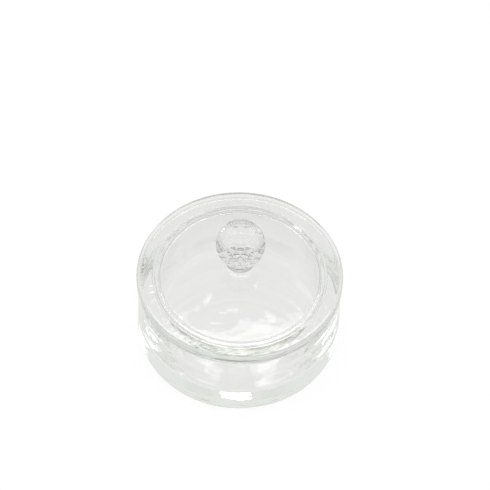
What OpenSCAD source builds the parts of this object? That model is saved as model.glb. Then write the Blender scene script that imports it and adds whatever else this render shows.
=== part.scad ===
// Low round glass dappen dish with a loose glass lid and a faceted glass knob.
// Millimetres, +Z up, origin at the middle of the underside of the dish.

/* [Dish] */
// Outer diameter of the dish at its foot, where it is widest
dish_d = 60.2; // [58:0.2:66]
// Height of the dish without its lid
dish_h = 25.6; // [22:0.2:32]
// How far the outer wall leans in, from the foot to the rim
taper = 0.6; // [0:0.1:1.2]
// Diameter of the mouth at the rim
mouth_d = 50.2; // [48:0.2:51]
// Thickness of the glass under the floor of the well
floor_t = 6; // [4:0.5:8]
// Radius of the round between the floor and the wall of the well
well_round = 1.5; // [1:0.5:10]
// Draft of the wall of the well, in degrees
well_draft = 1.5; // [0:0.5:3]
// Radius of the round at the foot of the outer wall
foot_round = 3.5; // [1:0.5:5]
// Radius of the round at the outer edge of the rim
rim_round = 0.8; // [0.4:0.2:1.2]
// Radius of the round at the inner edge of the rim
mouth_round = 0.5; // [0.3:0.1:0.7]

/* [Lid] */
// Outer diameter of the lid flange
lid_d = 60; // [57:0.5:66]
// Thickness of the lid flange
flange_t = 2.6; // [2:0.2:5]
// Radius of the round at the top edge of the flange
flange_round = 0.8; // [0.4:0.2:1.2]
// Gap between the side of the locating rib and the mouth of the dish
rib_gap = 0.5; // [0.3:0.1:1]
// Radial thickness of the locating rib
rib_t = 1.7; // [1.4:0.1:2.4]
// Depth of the locating rib below the flange
rib_depth = 1.5; // [1:0.1:3]
// Height of the top of the dome above the flange
dome_rise = 5.5; // [4:0.5:8]
// Thickness of the glass at the top of the dome
dome_t = 2.8; // [2:0.2:3.6]
// Radius of the hollow round where the dome leaves the flange
dome_foot_round = 0.8; // [0.4:0.2:2]
// Gap between the flange and the rim that it rests on
seat_gap = 0.1; // [0.05:0.05:0.2]

/* [Knob] */
// Diameter of the faceted ball, over its corners
knob_d = 14.4; // [12:0.2:16]
// Diamond-shaped facets in each row around the ball
facets = 14; // [12:2:20]
// Rows of corners from the widest row up to the flat table
rows_up = 4; // [3:1:6]
// Rows of corners from the widest row down to the flat foot
rows_down = 5; // [4:1:6]
// Height of the boss under the knob, above the top of the dome
boss_rise = 2.4; // [1.6:0.1:3]
// Radius of the hollow round where the boss leaves the dome
boss_round = 1.5; // [0.5:0.1:1.5]

/* [Hidden] */
$fn = 180;
// Depth to which shapes are run into each other so that no skin is left between
overlap = 0.01;
// Small round on the edges of the lid that nobody touches
edge_round = 0.4;
// Dish
dish_r = dish_d / 2;
neck_r = dish_r - taper;
mouth_r = mouth_d / 2;
round_z = floor_t + well_round;
round_x = mouth_r - (dish_h - round_z) * tan(well_draft) - well_round / cos(well_draft);
// Lid
lid_r = lid_d / 2;
rib_r = mouth_r - rib_gap;
hollow_r = rib_r - rib_t;
flange_z = dish_h + seat_gap;
flange_top = flange_z + flange_t;
dome_top = flange_top + dome_rise;
boss_top = dome_top + boss_rise;
hollow_rise = dome_top - dome_t - flange_z;
dome_ball = cap_ball(rib_r, dome_rise);
hollow_ball = cap_ball(hollow_r, hollow_rise);
// Centre of the hollow round that joins the dome to the flange
foot_z = flange_top + dome_foot_round;
foot_x = sqrt(pow(dome_ball + dome_foot_round, 2) - pow(foot_z - dome_top + dome_ball, 2));
// Knob
knob_r = knob_d / 2;
half_step = 180 / facets;
knob_foot_r = knob_r * cos(row_angle(rows_down));
knob_z = boss_top + knob_r * sin(row_angle(rows_down));
// Centre of the hollow round that joins the boss to the dome
waist_x = knob_foot_r + boss_round;
waist_z = dome_top - dome_ball + sqrt(pow(dome_ball + boss_round, 2) - pow(waist_x, 2));

// Radius of the ball whose cap has this base radius and this rise
function cap_ball(base_r, rise) = (base_r * base_r + rise * rise) / (2 * rise);

// What a round takes off the corner at [x, z]. side and up are 1 or -1, the way
// in which the corner points.
module corner_waste(x, z, radius, side, up) {
    translate([x - side * radius, z - up * radius])
        difference() {
            translate([min(side, 0) * 2 * radius, min(up, 0) * 2 * radius])
                square(2 * radius);
            circle(radius);
        }
}

// Half section of the space inside the well
module well_section() {
    polygon([
        [0, floor_t],
        [round_x, floor_t],
        [round_x + well_round * cos(well_draft), round_z - well_round * sin(well_draft)],
        [mouth_r, dish_h],
        [mouth_r, dish_h + overlap],
        [0, dish_h + overlap]
    ]);
    intersection() {
        translate([round_x, round_z]) circle(well_round);
        translate([0, floor_t]) square([mouth_r, well_round]);
    }
}

// Half section of the pot before its well is sunk into it
module pot_section() {
    polygon([
        [0, 0],
        [dish_r, 0],
        [dish_r, foot_round],
        [neck_r, dish_h - rim_round],
        [neck_r, dish_h],
        [0, dish_h]
    ]);
}

// Pot with a slightly tapered wall, a thick floor and a flat-bottomed well
module dish() {
    color([0.84, 0.88, 0.84, 0.5]) rotate_extrude() difference() {
        pot_section();
        well_section();
        corner_waste(dish_r, 0, foot_round, 1, -1);
        corner_waste(neck_r, dish_h, rim_round, 1, 1);
        corner_waste(mouth_r, dish_h, mouth_round, -1, 1);
    }
}

// Half section of the flat flange that rests on the rim
module flange_section() {
    difference() {
        translate([0, flange_z]) square([lid_r, flange_t]);
        corner_waste(lid_r, flange_top, flange_round, 1, 1);
        corner_waste(lid_r, flange_z, edge_round, 1, -1);
    }
}

// Half section of the rib that keeps the lid over the mouth
module rib_section() {
    rib_z = flange_z - rib_depth;
    difference() {
        translate([hollow_r, rib_z]) square([rib_t, rib_depth + overlap]);
        corner_waste(rib_r, rib_z, edge_round, 1, -1);
        corner_waste(hollow_r, rib_z, edge_round, -1, -1);
    }
}

// Half section of the dome and the boss on top, with the hollow round at the foot of each
module dome_section() {
    intersection() {
        translate([0, dome_top - dome_ball]) circle(dome_ball);
        translate([0, flange_z]) square([lid_r, dome_top]);
    }
    difference() {
        translate([0, flange_top - overlap]) square([foot_x, dome_foot_round + overlap]);
        translate([foot_x, foot_z]) circle(dome_foot_round);
    }
    difference() {
        translate([0, flange_top])
            square([waist_x * dome_ball / (dome_ball + boss_round), waist_z - flange_top]);
        translate([waist_x, waist_z]) circle(boss_round);
    }
    translate([0, flange_top]) square([knob_foot_r, boss_top - flange_top]);
}

// Half section of the space under the dome
module hollow_section() {
    intersection() {
        translate([0, flange_z + hollow_rise - hollow_ball]) circle(hollow_ball);
        translate([0, flange_z - overlap]) square([hollow_r, hollow_rise + 2 * overlap]);
    }
}

module lid() {
    color([0.88, 0.91, 0.88, 0.5]) rotate_extrude() difference() {
        union() {
            flange_section();
            rib_section();
            dome_section();
        }
        hollow_section();
    }
}

// Height angle on the ball of the n-th row of corners from its widest row. The
// step narrows with the rows, which keeps each diamond between them flat.
function row_angle(n) =
    n == 0 ? 0 : row_angle(n - 1) + half_step * cos(row_angle(n - 1));

// Number of corner k in row i, counted from the foot
function corner(i, k) = i * facets + (k + facets) % facets;

// Ball with a flat foot and a flat table. Each row of corners is turned half a
// step against the next, so the faces between rows pair up into diamonds.
module knob() {
    last = rows_down + rows_up;
    corners = [for (i = [0:last], k = [0:facets - 1])
        let (n = i - rows_down, a = sign(n) * row_angle(abs(n)))
        let (turn = half_step * (2 * k + i % 2), x = knob_r * cos(a))
        [x * cos(turn), x * sin(turn), knob_z + knob_r * sin(a)]];
    foot = [for (k = [0:facets - 1]) corner(0, k)];
    table = [for (k = [facets - 1:-1:0]) corner(last, k)];
    upright = [for (i = [0:last - 1], k = [0:facets - 1])
        [corner(i, k), corner(i + 1, k - 1 + i % 2), corner(i + 1, k + i % 2)]];
    hanging = [for (i = [0:last - 1], k = [0:facets - 1])
        [corner(i, k), corner(i + 1, k + i % 2), corner(i, k + 1)]];
    color([0.93, 0.95, 0.93, 0.6])
        polyhedron(corners, concat([foot, table], upright, hanging));
}

dish();
lid();
knob();
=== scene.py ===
"""Lidded glass dappen dish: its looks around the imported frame. Metres, +Z up."""
import math

import bmesh
import bpy
from mathutils import Matrix, Vector, noise


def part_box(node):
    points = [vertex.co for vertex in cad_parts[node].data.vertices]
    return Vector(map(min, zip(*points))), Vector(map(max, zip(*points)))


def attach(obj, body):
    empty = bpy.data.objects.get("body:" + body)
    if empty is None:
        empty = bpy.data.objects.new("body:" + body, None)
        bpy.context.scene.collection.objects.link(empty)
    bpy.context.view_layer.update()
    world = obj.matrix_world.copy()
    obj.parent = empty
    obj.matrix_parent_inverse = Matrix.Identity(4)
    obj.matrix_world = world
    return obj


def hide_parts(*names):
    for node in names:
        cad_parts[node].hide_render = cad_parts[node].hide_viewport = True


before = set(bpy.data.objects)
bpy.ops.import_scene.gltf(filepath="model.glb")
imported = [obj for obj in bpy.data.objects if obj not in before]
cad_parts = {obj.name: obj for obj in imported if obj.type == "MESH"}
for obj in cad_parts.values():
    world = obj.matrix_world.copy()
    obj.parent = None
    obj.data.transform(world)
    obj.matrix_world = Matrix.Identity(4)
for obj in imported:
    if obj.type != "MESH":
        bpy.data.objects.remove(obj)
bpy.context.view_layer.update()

MM = 0.001

# ---------------------------------------------------------------- the frame
DISH_HIGH = Vector(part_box("dish")[1])
LID_HIGH = Vector(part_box("lid")[1])
KNOB_LOW, KNOB_HIGH = (Vector(corner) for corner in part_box("knob"))

DISH_RADIUS = DISH_HIGH.x
DISH_TOP = DISH_HIGH.z
LID_RADIUS = LID_HIGH.x
BOSS_TOP = LID_HIGH.z
KNOB_RADIUS = KNOB_HIGH.y
KNOB_FOOT = KNOB_LOW.z
KNOB_TOP = KNOB_HIGH.z

# -------------------------------------------------- thicknesses and roundings
TAPER = 0.6 * MM
FOOT_ROUND = 3.5 * MM
RIM_ROUND = 0.8 * MM
MOUTH_ROUND = 0.5 * MM
MOUTH_RADIUS = 25.1 * MM
WELL_DRAFT = math.radians(1.5)
WELL_ROUND = 1.5 * MM
FLOOR_THICKNESS = 6.0 * MM

SEAT_GAP = 0.1 * MM
FLANGE_THICKNESS = 2.6 * MM
FLANGE_ROUND = 0.8 * MM
RIB_RADIUS = 24.6 * MM
RIB_THICKNESS = 1.7 * MM
RIB_DEPTH = 1.5 * MM
EDGE_ROUND = 0.4 * MM
DOME_RISE = 5.5 * MM
DOME_THICKNESS = 2.8 * MM
DOME_FOOT_ROUND = 0.8 * MM
HOLLOW_ROUND = 0.8 * MM
BOSS_ROUND = 1.5 * MM
# the boss runs this far into the knob, since the two are one lump of glass
FUSED_DEPTH = 0.05 * MM

FACETS = 14
ROWS_UP = 4
ROWS_DOWN = 5
FACET_EDGE = 0.25 * MM
# faces smaller than this belong to a rounded edge and are shaded smooth
FACET_AREA = 0.8 * MM * MM
TABLE_ROUND = 1.0 * MM

# ------------------------------------------------- unevenness of pressed glass
WAVE = 0.065 * MM
# size, shift and share of each layer of waves
WAVE_LAYERS = [
    (14 * MM, Vector((0, 0, 0)), 0.6),
    (6 * MM, Vector((7, 3, 1)), 0.4),
    (2.5 * MM, Vector((2, 9, 4)), 0.15),
]
# the waves die out over this height next to a face that touches something
CALM_DEPTH = 1.5 * MM
# bead that the joint of the mould left at the foot of the dome
SEAM_TURN = math.radians(193.3)
SEAM_WIDTH = 0.3 * MM
SEAM_HEIGHT = 0.12 * MM
SEAM_START = 23.4 * MM
SEAM_END = 26.4 * MM
RIPPLE_SIZE = 3.0 * MM
RIPPLE_HEIGHT = 0.01 * MM
# part of the ripple pattern over which the roughness rises, and how far
DULL_START = 0.45
DULL_END = 0.75
DULL_ROUGHNESS = 0.03

# ----------------------------------------------------------------- glass itself
GLASS_IOR = 1.52
GLASS_CAST = (0.60, 0.70, 0.46, 1.0)
BODY_DENSITY = 2.4
KNOB_DENSITY = 0.3

# ------------------------------------------------------------------ mesh grain
STEP = 0.5 * MM
# an arc has at least this many points, and no two of them further apart than this angle
ARC_POINTS = 4
ARC_ANGLE = math.radians(9)
TURNS = 432
TABLE_TURNS = 64
TABLE_STEP = 15
EDGE_SEGMENTS = 3
# neighbouring faces of the knob this close to one plane are one facet
FLAT_ANGLE = math.radians(3)


# ------------------------------------------------------------------ mesh tools
def along(start, end):
    """Points of a straight run, without its last one."""
    start, end = Vector(start), Vector(end)
    count = max(1, round((end - start).length / STEP))
    return [start.lerp(end, i / count) for i in range(count)]


def arc(centre, radius, first, last):
    """Points of an arc between two angles in degrees, without its last one."""
    span = math.radians(abs(last - first))
    count = max(ARC_POINTS, round(radius * span / STEP), round(span / ARC_ANGLE))
    points = []
    for i in range(count):
        angle = math.radians(first + (last - first) * i / count)
        x = centre[0] + radius * math.cos(angle)
        z = centre[1] + radius * math.sin(angle)
        points.append(Vector((x, z)))
    return points


def wave(place):
    """Push of pressed glass off its true shape, none where two pieces meet."""
    calm = min(1.0, *(abs(place.z - level) / CALM_DEPTH for level in (0, DISH_TOP, BOSS_TOP)))
    push = sum(share * noise.noise(place / size + shift) for size, shift, share in WAVE_LAYERS)
    return WAVE * calm * push


def seam(place):
    """Rise of the low bead that the joint of the mould left at the foot of the dome."""
    reach = math.hypot(place.x, place.y)
    if place.z < DISH_TOP + FLANGE_THICKNESS or not SEAM_START < reach < SEAM_END:
        return 0.0
    aside = reach * abs(math.remainder(math.atan2(place.y, place.x) - SEAM_TURN, 2 * math.pi))
    return SEAM_HEIGHT * max(0.0, 1 - aside / SEAM_WIDTH)


def link(name, bm):
    """New object made from a bmesh."""
    mesh = bpy.data.meshes.new(name)
    bm.to_mesh(mesh)
    bm.free()
    piece = bpy.data.objects.new(name, mesh)
    bpy.context.scene.collection.objects.link(piece)
    return piece


def revolve(name, outline):
    """Closed mesh of an outline of (radius, height), from axis to axis, turned about Z."""
    bm = bmesh.new()
    rings = []
    for radius, height in outline:
        if radius < 0.1 * STEP:
            rings.append([bm.verts.new((0, 0, height))] * TURNS)
            continue
        ring = []
        for k in range(TURNS):
            turn = 2 * math.pi * k / TURNS
            ring.append(bm.verts.new((radius * math.cos(turn), radius * math.sin(turn), height)))
        rings.append(ring)
    for lower, upper in zip(rings, rings[1:]):
        for k in range(TURNS):
            corners = (lower[k - 1], lower[k], upper[k], upper[k - 1])
            bm.faces.new(dict.fromkeys(corners))
    bmesh.ops.recalc_face_normals(bm, faces=bm.faces)
    bm.normal_update()
    for vert in bm.verts:
        vert.co += wave(vert.co) * vert.normal
        vert.co.z += seam(vert.co)
    for face in bm.faces:
        face.smooth = True
    return link(name, bm)


# ------------------------------------------------------------------------ dish
def dish_outline():
    """Half section of the dish, from the axis under the floor, round and back."""
    neck = DISH_RADIUS - TAPER
    draft = math.degrees(WELL_DRAFT)
    # centre of the round in the corner of the well, and the point where the wall meets it
    round_z = FLOOR_THICKNESS + WELL_ROUND
    lean_in = (DISH_TOP - round_z) * math.tan(WELL_DRAFT)
    round_x = MOUTH_RADIUS - lean_in - WELL_ROUND / math.cos(WELL_DRAFT)
    wall_low = (
        round_x + WELL_ROUND * math.cos(WELL_DRAFT),
        round_z - WELL_ROUND * math.sin(WELL_DRAFT),
    )
    mouth = (MOUTH_RADIUS + MOUTH_ROUND, DISH_TOP - MOUTH_ROUND)
    points = along((0, 0), (DISH_RADIUS - FOOT_ROUND, 0))
    points += arc((DISH_RADIUS - FOOT_ROUND, FOOT_ROUND), FOOT_ROUND, -90, 0)
    points += along((DISH_RADIUS, FOOT_ROUND), (neck, DISH_TOP - RIM_ROUND))
    points += arc((neck - RIM_ROUND, DISH_TOP - RIM_ROUND), RIM_ROUND, 0, 90)
    points += along((neck - RIM_ROUND, DISH_TOP), (mouth[0], DISH_TOP))
    points += arc(mouth, MOUTH_ROUND, 90, 180)
    points += along((MOUTH_RADIUS, mouth[1]), wall_low)
    points += arc((round_x, round_z), WELL_ROUND, -draft, -90)
    points += along((round_x, FLOOR_THICKNESS), (0, FLOOR_THICKNESS))
    points.append(Vector((0, FLOOR_THICKNESS)))
    return points


# ------------------------------------------------------------------------- lid
def cap_ball(base, rise):
    """Radius of the ball whose cap has this base radius and this rise."""
    return (base * base + rise * rise) / (2 * rise)


def lean_of(x, z):
    """Angle of a direction in the half section, in degrees above level."""
    return math.degrees(math.atan2(z, x))


def lid_outline():
    """Half section of the lid, from the axis under the dome, round and back."""
    low = DISH_TOP + SEAT_GAP
    top = low + FLANGE_THICKNESS
    rib_low = low - RIB_DEPTH
    hollow = RIB_RADIUS - RIB_THICKNESS
    dome_top = top + DOME_RISE
    hollow_rise = dome_top - DOME_THICKNESS - low
    inner = cap_ball(hollow, hollow_rise)
    inner_z = low + hollow_rise - inner
    outer = cap_ball(RIB_RADIUS, DOME_RISE)
    outer_z = dome_top - outer
    # centres of the rounds inside the hollow, at the foot of the dome and round the boss
    shoulder = hollow - HOLLOW_ROUND
    shoulder_z = inner_z + math.sqrt((inner - HOLLOW_ROUND) ** 2 - shoulder**2)
    foot_z = top + DOME_FOOT_ROUND
    foot = math.sqrt((outer + DOME_FOOT_ROUND) ** 2 - (foot_z - outer_z) ** 2)
    waist = KNOB_FOOT_RADIUS + BOSS_ROUND
    waist_z = outer_z + math.sqrt((outer + BOSS_ROUND) ** 2 - waist**2)
    shoulder_lean = lean_of(shoulder, shoulder_z - inner_z)
    foot_lean = lean_of(foot, foot_z - outer_z)
    waist_lean = lean_of(waist, waist_z - outer_z)
    boss_top = BOSS_TOP + FUSED_DEPTH
    points = arc((0, inner_z), inner, 90, shoulder_lean)
    points += arc((shoulder, shoulder_z), HOLLOW_ROUND, shoulder_lean, 0)
    points += along((hollow, shoulder_z), (hollow, rib_low + EDGE_ROUND))
    points += arc((hollow + EDGE_ROUND, rib_low + EDGE_ROUND), EDGE_ROUND, 180, 270)
    points += arc((RIB_RADIUS - EDGE_ROUND, rib_low + EDGE_ROUND), EDGE_ROUND, 270, 360)
    points += along((RIB_RADIUS, rib_low + EDGE_ROUND), (RIB_RADIUS, low))
    points += along((RIB_RADIUS, low), (LID_RADIUS - EDGE_ROUND, low))
    points += arc((LID_RADIUS - EDGE_ROUND, low + EDGE_ROUND), EDGE_ROUND, -90, 0)
    points += along((LID_RADIUS, low + EDGE_ROUND), (LID_RADIUS, top - FLANGE_ROUND))
    points += arc((LID_RADIUS - FLANGE_ROUND, top - FLANGE_ROUND), FLANGE_ROUND, 0, 90)
    points += along((LID_RADIUS - FLANGE_ROUND, top), (foot, top))
    points += arc((foot, foot_z), DOME_FOOT_ROUND, 270, 180 + foot_lean)
    points += arc((0, outer_z), outer, foot_lean, waist_lean)
    points += arc((waist, waist_z), BOSS_ROUND, 180 + waist_lean, 180)
    points += along((KNOB_FOOT_RADIUS, waist_z), (KNOB_FOOT_RADIUS, boss_top))
    points += along((KNOB_FOOT_RADIUS, boss_top), (0, boss_top))
    points.append(Vector((0, boss_top)))
    return points


# ------------------------------------------------------------------------ knob
def row_angle(row):
    """Height angle on the ball of a row of corners, counted from its widest row."""
    angle = 0.0
    for _ in range(abs(row)):
        angle += math.pi / FACETS * math.cos(angle)
    return math.copysign(angle, row)


KNOB_FOOT_RADIUS = KNOB_RADIUS * math.cos(row_angle(ROWS_DOWN))
KNOB_Z = KNOB_FOOT + KNOB_RADIUS * math.sin(row_angle(ROWS_DOWN))
TABLE_RADIUS = KNOB_RADIUS * math.cos(row_angle(ROWS_UP))


def add_ring(bm, radius, height, count, offset):
    """Ring of corners, turned by a part of its own step."""
    for k in range(count):
        turn = 2 * math.pi * (k + offset) / count
        bm.verts.new((radius * math.cos(turn), radius * math.sin(turn), height))


def make_knob():
    """Ball cut with diamond facets, between a flat foot and a table with a round rim."""
    bm = bmesh.new()
    for row in range(-ROWS_DOWN, ROWS_UP):
        angle = row_angle(row)
        height = KNOB_Z + KNOB_RADIUS * math.sin(angle)
        add_ring(bm, KNOB_RADIUS * math.cos(angle), height, FACETS, (row + ROWS_DOWN) % 2 / 2)
    for lean in range(0, 91, TABLE_STEP):
        inset = TABLE_ROUND * (1 - math.cos(math.radians(lean)))
        drop = TABLE_ROUND * (1 - math.sin(math.radians(lean)))
        add_ring(bm, TABLE_RADIUS - inset, KNOB_TOP - drop, TABLE_TURNS, 0)
    bmesh.ops.convex_hull(bm, input=bm.verts)
    bmesh.ops.delete(bm, geom=[vert for vert in bm.verts if not vert.link_faces], context="VERTS")
    bmesh.ops.dissolve_limit(bm, angle_limit=FLAT_ANGLE, verts=bm.verts, edges=bm.edges)
    below_rim = KNOB_TOP - 1.2 * TABLE_ROUND
    cut_edges = [edge for edge in bm.edges if max(vert.co.z for vert in edge.verts) < below_rim]
    bmesh.ops.bevel(
        bm,
        geom=cut_edges,
        offset=FACET_EDGE,
        offset_type="OFFSET",
        segments=EDGE_SEGMENTS,
        profile=0.5,
        affect="EDGES",
    )
    bmesh.ops.recalc_face_normals(bm, faces=bm.faces)
    for face in bm.faces:
        face.smooth = face.calc_area() < FACET_AREA
    return link("knob_glass", bm)


# ------------------------------------------------------------------- materials
def clear_glass(name, density):
    """Clear pressed glass, faintly rippled, with a grey-green cast in its depth."""
    material = bpy.data.materials.new(name)
    material.use_nodes = True
    tree = material.node_tree
    shader = tree.nodes["Principled BSDF"]
    shader.inputs["Base Color"].default_value = (1.0, 1.0, 1.0, 1.0)
    shader.inputs["IOR"].default_value = GLASS_IOR
    shader.inputs["Transmission Weight"].default_value = 1.0
    place = tree.nodes.new("ShaderNodeTexCoord")
    ripple = tree.nodes.new("ShaderNodeTexNoise")
    ripple.inputs["Scale"].default_value = 1 / RIPPLE_SIZE
    ripple.inputs["Detail"].default_value = 3.0
    tree.links.new(place.outputs["Object"], ripple.inputs["Vector"])
    bump = tree.nodes.new("ShaderNodeBump")
    bump.inputs["Distance"].default_value = RIPPLE_HEIGHT
    tree.links.new(ripple.outputs["Fac"], bump.inputs["Height"])
    tree.links.new(bump.outputs["Normal"], shader.inputs["Normal"])
    polish = tree.nodes.new("ShaderNodeMapRange")
    polish.inputs["From Min"].default_value = DULL_START
    polish.inputs["From Max"].default_value = DULL_END
    polish.inputs["To Max"].default_value = DULL_ROUGHNESS
    tree.links.new(ripple.outputs["Fac"], polish.inputs["Value"])
    tree.links.new(polish.outputs["Result"], shader.inputs["Roughness"])
    body = tree.nodes.new("ShaderNodeVolumeAbsorption")
    body.inputs["Color"].default_value = GLASS_CAST
    body.inputs["Density"].default_value = density
    tree.links.new(body.outputs["Volume"], tree.nodes["Material Output"].inputs["Volume"])
    return material


def place_piece(piece, node, body, density):
    """Give a piece its glass, hang it on its body and hide the CAD node that it stands for."""
    piece.data.materials.append(clear_glass(piece.name, density))
    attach(piece, body)
    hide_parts(node)


place_piece(revolve("dish_glass", dish_outline()), "dish", "dish", BODY_DENSITY)
place_piece(revolve("lid_glass", lid_outline()), "lid", "lid", BODY_DENSITY)
place_piece(make_knob(), "knob", "lid", KNOB_DENSITY)


# ---------------------------------------------------------- floor and lighting
FLOOR_SIZE = 3.0
FLOOR_SINK = 0.02 * MM
FLOOR_TONE = (0.12, 0.12, 0.12, 1.0)
FLOOR_ROUGHNESS = 0.9
# painted light: the floor glows rather than being lit. The glow is full where the camera sees it
# straight on.
# Where glass sees it, the glow is dimmed as painted shade near the object, and it fades to a
# deeper painted shade far off
FLOOR_SEEN = 0.93
FLOOR_SHADED = 0.775
FLOOR_FAR_PAINTED_SHADE = 0.25
# distances in metres from the middle between which the painted shade deepens from near to far
FADE_START = 0.08
FADE_END = 0.20
# what the camera sees behind the floor
BACKDROP = (1, 1, 1, 1)
# light of the white tent all round
TENT = 0.82
# parts of the tent: turn from, to, height from, to, softness in degrees, colour
TENT_PARTS = [
    (-200, 200, -30, 38, 4, (0.36, 0.37, 0.31, 1)),
    (150, 200, 25, 70, 8, (0.25, 0.25, 0.25, 1)),
    (-200, -150, 25, 70, 8, (0.25, 0.25, 0.25, 1)),
    (82, 150, -10, 60, 3, (TENT, TENT, TENT, 1)),
    (-150, -80, -12, 60, 3, (TENT, TENT, TENT, 1)),
    (100, 111, 11, 31, 4, (0.08, 0.08, 0.08, 1)),
    (-104, -86, -8, 6, 4, (0.08, 0.08, 0.08, 1)),
]
# windows: turn from, to, height from, to in degrees, brightness
WINDOW_SOFTNESS = 0.3
WINDOWS = [
    (-8.5, 11, 56, 62.5, 3.5),
    (80, 96, 44, 58, 2),
    (-112, -83, 44, 58, 2),
    (14, 25, 66.5, 69, 3),
    (-65, -50, 67.5, 69.5, 3),
    (80, 95, 69, 74, 3),
]


def make_floor():
    """White table top that glows as painted light: plain white to the camera, with painted shade
    where glass sees it, deepening further off.
    """
    bm = bmesh.new()
    bmesh.ops.create_grid(bm, x_segments=1, y_segments=1, size=FLOOR_SIZE / 2)
    floor = link("floor", bm)
    floor.location.z = -FLOOR_SINK
    material = bpy.data.materials.new("floor_glow_painted_shade")
    material.use_nodes = True
    tree = material.node_tree
    shader = tree.nodes["Principled BSDF"]
    shader.inputs["Base Color"].default_value = FLOOR_TONE
    shader.inputs["Roughness"].default_value = FLOOR_ROUGHNESS
    shader.inputs["Specular IOR Level"].default_value = 0.0
    shader.inputs["Emission Color"].default_value = (1.0, 1.0, 1.0, 1.0)
    # painted light: full glow for camera rays, and the dimmer painted-shade glow for every other
    # ray
    ray = tree.nodes.new("ShaderNodeLightPath")
    light = tree.nodes.new("ShaderNodeMapRange")
    place = tree.nodes.new("ShaderNodeTexCoord")
    reach = tree.nodes.new("ShaderNodeVectorMath")
    reach.operation = "LENGTH"
    tree.links.new(place.outputs["Object"], reach.inputs[0])
    # painted shade: the glow that glass sees darkens with distance from the middle
    shade = tree.nodes.new("ShaderNodeMapRange")
    shade.inputs["From Min"].default_value = FADE_START
    shade.inputs["From Max"].default_value = FADE_END
    shade.inputs["To Min"].default_value = FLOOR_SHADED
    shade.inputs["To Max"].default_value = FLOOR_FAR_PAINTED_SHADE
    tree.links.new(reach.outputs["Value"], shade.inputs["Value"])
    tree.links.new(shade.outputs["Result"], light.inputs["To Min"])
    light.inputs["To Max"].default_value = FLOOR_SEEN
    tree.links.new(ray.outputs["Is Camera Ray"], light.inputs["Value"])
    tree.links.new(light.outputs["Result"], shader.inputs["Emission Strength"])
    floor.data.materials.append(material)


def make_world():
    """White tent with darker parts and windows in it, plain white behind the object."""
    world = bpy.data.worlds.new("studio")
    bpy.context.scene.world = world
    world.use_nodes = True
    tree = world.node_tree
    where = tree.nodes.new("ShaderNodeTexCoord")
    split = tree.nodes.new("ShaderNodeSeparateXYZ")
    tree.links.new(where.outputs["Generated"], split.inputs[0])

    def feed(socket, source):
        if isinstance(source, bpy.types.NodeSocket):
            tree.links.new(source, socket)
        else:
            socket.default_value = source

    def value(operation, *sources):
        node = tree.nodes.new("ShaderNodeMath")
        node.operation = operation
        for socket, source in zip(node.inputs, sources):
            feed(socket, source)
        return node.outputs[0]

    def step_at(source, level, soft):
        node = tree.nodes.new("ShaderNodeMapRange")
        node.interpolation_type = "SMOOTHSTEP"
        feed(node.inputs["Value"], source)
        node.inputs["From Min"].default_value = level - soft
        node.inputs["From Max"].default_value = level + soft
        return node.outputs["Result"]

    def band(source, low, high, soft):
        return value("SUBTRACT", step_at(source, low, soft), step_at(source, high, soft))

    def colour_socket(sockets, name):
        return next(item for item in sockets if item.name == name and item.type == "RGBA")

    def mix(share, under, over):
        node = tree.nodes.new("ShaderNodeMix")
        node.data_type = "RGBA"
        feed(node.inputs["Factor"], share)
        feed(colour_socket(node.inputs, "A"), under)
        feed(colour_socket(node.inputs, "B"), over)
        return colour_socket(node.outputs, "Result")

    def paint(under, part, soft, over):
        low, high, bottom, ceiling = part
        share = value("MULTIPLY", band(turn, low, high, soft), band(height, bottom, ceiling, soft))
        return mix(share, under, over)

    turn = value("ARCTAN2", split.outputs["X"], split.outputs["Y"])
    turn = value("MULTIPLY", turn, math.degrees(1))
    height = value("MULTIPLY", value("ARCSINE", split.outputs["Z"]), math.degrees(1))
    colour = (TENT, TENT, TENT, 1)
    for *part, soft, tone in TENT_PARTS:
        colour = paint(colour, part, soft, tone)
    for *part, glow in WINDOWS:
        colour = paint(colour, part, WINDOW_SOFTNESS, (glow, glow, glow, 1))
    ray = tree.nodes.new("ShaderNodeLightPath")
    backdrop = mix(ray.outputs["Is Camera Ray"], colour, BACKDROP)
    tree.links.new(backdrop, tree.nodes["Background"].inputs["Color"])


# --------------------------------------------------------------------- camera
CAMERA_ELEVATION = math.radians(54.3)
CAMERA_ROLL = math.radians(1.5)
CAMERA_DISTANCE = 0.6
CAMERA_AIM = Vector((0, 0, 0.025))
CAMERA_LENS = 151.3
CAMERA_SHIFT = (0.0108, 0.0700)


def make_camera():
    data = bpy.data.cameras.new("camera")
    data.lens = CAMERA_LENS
    data.sensor_width = 36.0
    data.shift_x, data.shift_y = CAMERA_SHIFT
    data.clip_start = 0.01
    camera = bpy.data.objects.new("camera", data)
    bpy.context.scene.collection.objects.link(camera)
    look = Vector((0, math.cos(CAMERA_ELEVATION), -math.sin(CAMERA_ELEVATION)))
    upright = look.to_track_quat("-Z", "Y").to_matrix().to_4x4()
    turned = upright @ Matrix.Rotation(CAMERA_ROLL, 4, "Z")
    camera.matrix_world = Matrix.Translation(CAMERA_AIM - CAMERA_DISTANCE * look) @ turned
    bpy.context.scene.camera = camera


make_floor()
make_world()
make_camera()

scene = bpy.context.scene
scene.view_settings.view_transform = "Standard"
# light crosses many walls of glass before it leaves
GLASS_BOUNCES = 64
scene.cycles.max_bounces = GLASS_BOUNCES
scene.cycles.transmission_bounces = GLASS_BOUNCES
scene.cycles.glossy_bounces = GLASS_BOUNCES
